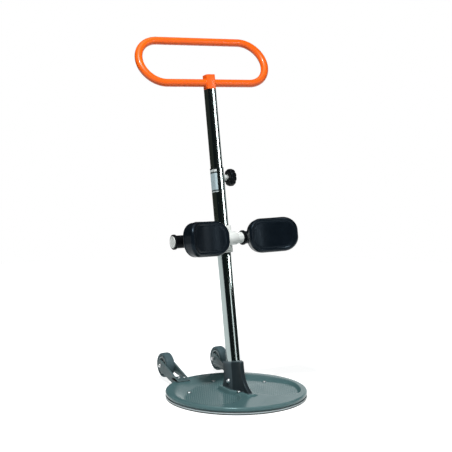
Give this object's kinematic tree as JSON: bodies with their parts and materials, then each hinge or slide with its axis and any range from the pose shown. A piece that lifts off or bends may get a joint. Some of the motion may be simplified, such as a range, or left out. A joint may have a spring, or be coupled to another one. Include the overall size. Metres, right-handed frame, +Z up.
{
  "type": "patient turner",
  "caption": "Standing transfer turner: a round turntable footplate with a leaning telescopic post, a loop handle, shin pads that slide and tilt, and tip-back transport wheels.",
  "frame": {"origin": "on the floor under the turntable's axis", "axes": "+Z up, the user stands on the -Y side and the post leans towards the carer on the +Y side, +X to the right in the view from the user's side"},
  "size_m": [0.4828, 0.562, 1.138],
  "materials": {
    "mat_rubber": "matte",
    "disc_paint": "satin",
    "turned_steel": "satin",
    "screw_zinc": "satin",
    "plate_plastic": "satin",
    "glide_plastic": "satin",
    "bush_bronze": "satin",
    "pedestal_plastic": "satin",
    "post_chrome": "polished",
    "black_plastic": "satin",
    "pale_plastic": "satin",
    "plate_foil": "satin",
    "fork_plastic": "satin",
    "handle_paint": "gloss",
    "white_plastic": "gloss",
    "pad_skin": "satin",
    "hub_plastic": "satin",
    "wheel_rubber": "matte"
  },
  "bodies": {
    "base": {"floor_mat": "mat_rubber", "base_disc": "disc_paint", "spindle": "turned_steel", "spindle_washer": "turned_steel", "spindle_nut": "turned_steel"},
    "turntable": {"footplate": "plate_plastic", "glide_ring": "glide_plastic", "pivot_bush": "bush_bronze", "plate_screws": "screw_zinc", "pedestal": "pedestal_plastic", "pedestal_screws": "screw_zinc", "cross_bolt": "screw_zinc", "cross_bolt_nut": "screw_zinc", "outer_tube": "post_chrome", "guide_bush": "black_plastic", "clamp_boss": "pale_plastic", "label_plate": "plate_foil", "left_fork": "fork_plastic", "right_fork": "fork_plastic", "fork_screws": "screw_zinc", "wheel_axles": "turned_steel", "axle_nuts": "turned_steel"},
    "mast": {"inner_tube": "post_chrome", "tube_plug": "black_plastic", "handle_socket": "handle_paint", "socket_screw": "screw_zinc", "handle_loop": "handle_paint"},
    "clamp_pad": {"press_pad": "glide_plastic"},
    "clamp_knob": {"knob_stud": "turned_steel", "knob_neck": "pale_plastic", "knob": "black_plastic"},
    "carriage": {"carriage_body": "white_plastic", "carriage_cover": "white_plastic", "cover_screws": "screw_zinc", "cross_rod": "white_plastic", "rod_end_caps": "white_plastic"},
    "small_clamp_pad": {"small_press_pad": "glide_plastic"},
    "small_clamp_knob": {"small_knob_stud": "turned_steel", "small_knob_neck": "pale_plastic", "small_knob": "black_plastic"},
    "left_support": {"left_sleeve": "black_plastic", "left_carrier": "black_plastic", "left_pad_screws": "screw_zinc", "left_pad": "pad_skin"},
    "right_support": {"right_sleeve": "black_plastic", "right_carrier": "black_plastic", "right_pad_screws": "screw_zinc", "right_pad": "pad_skin"},
    "left_wheel": {"left_wheel_hub": "hub_plastic", "left_tyre": "wheel_rubber"},
    "right_wheel": {"right_wheel_hub": "hub_plastic", "right_tyre": "wheel_rubber"}
  },
  "joints": [
    {"name": "turntable_spin", "type": "hinge", "parent": "base", "child": "turntable", "pos_m": [0, 0, 0], "axis": [0, 0, 1], "continuous": true},
    {"name": "mast_slide", "type": "slide", "parent": "turntable", "child": "mast", "axis": [0, 0.1754, 0.9845], "range_m": [-0.225, 0.04]},
    {"name": "clamp_travel", "type": "slide", "parent": "turntable", "child": "clamp_pad", "axis": [1, 0, 0], "range_m": [0, 0.0026]},
    {"name": "knob_turn", "type": "hinge", "parent": "clamp_pad", "child": "clamp_knob", "pos_m": [0, 0.12137, 0.68754], "axis": [1, 0, 0], "range_deg": [0, 720]},
    {"name": "carriage_slide", "type": "slide", "parent": "turntable", "child": "carriage", "axis": [0, 0.1754, 0.9845], "range_m": [-0.12, 0.08]},
    {"name": "small_clamp_travel", "type": "slide", "parent": "carriage", "child": "small_clamp_pad", "axis": [0, 0.9845, -0.1754], "range_m": [0, 0.0026]},
    {"name": "small_knob_turn", "type": "hinge", "parent": "small_clamp_pad", "child": "small_clamp_knob", "pos_m": [0, 0.08665, 0.49261], "axis": [0, 0.9845, -0.1754], "range_deg": [0, 720]},
    {"name": "left_pad_tilt", "type": "hinge", "parent": "carriage", "child": "left_support", "pos_m": [0, 0.04235, 0.5005], "axis": [1, 0, 0], "range_deg": [-30, 30]},
    {"name": "right_pad_tilt", "type": "hinge", "parent": "carriage", "child": "right_support", "pos_m": [0, 0.04235, 0.5005], "axis": [1, 0, 0], "range_deg": [-30, 30]},
    {"name": "left_wheel_spin", "type": "hinge", "parent": "turntable", "child": "left_wheel", "pos_m": [-0.1025, 0.296, 0.052], "axis": [1, 0, 0], "continuous": true},
    {"name": "right_wheel_spin", "type": "hinge", "parent": "turntable", "child": "right_wheel", "pos_m": [0.1025, 0.296, 0.052], "axis": [1, 0, 0], "continuous": true}
  ],
  "couplings": [
    {"joint": "clamp_travel", "follows": "knob_turn", "m_per_rad": 0.00019894},
    {"joint": "small_clamp_travel", "follows": "small_knob_turn", "m_per_rad": 0.00019894}
  ]
}
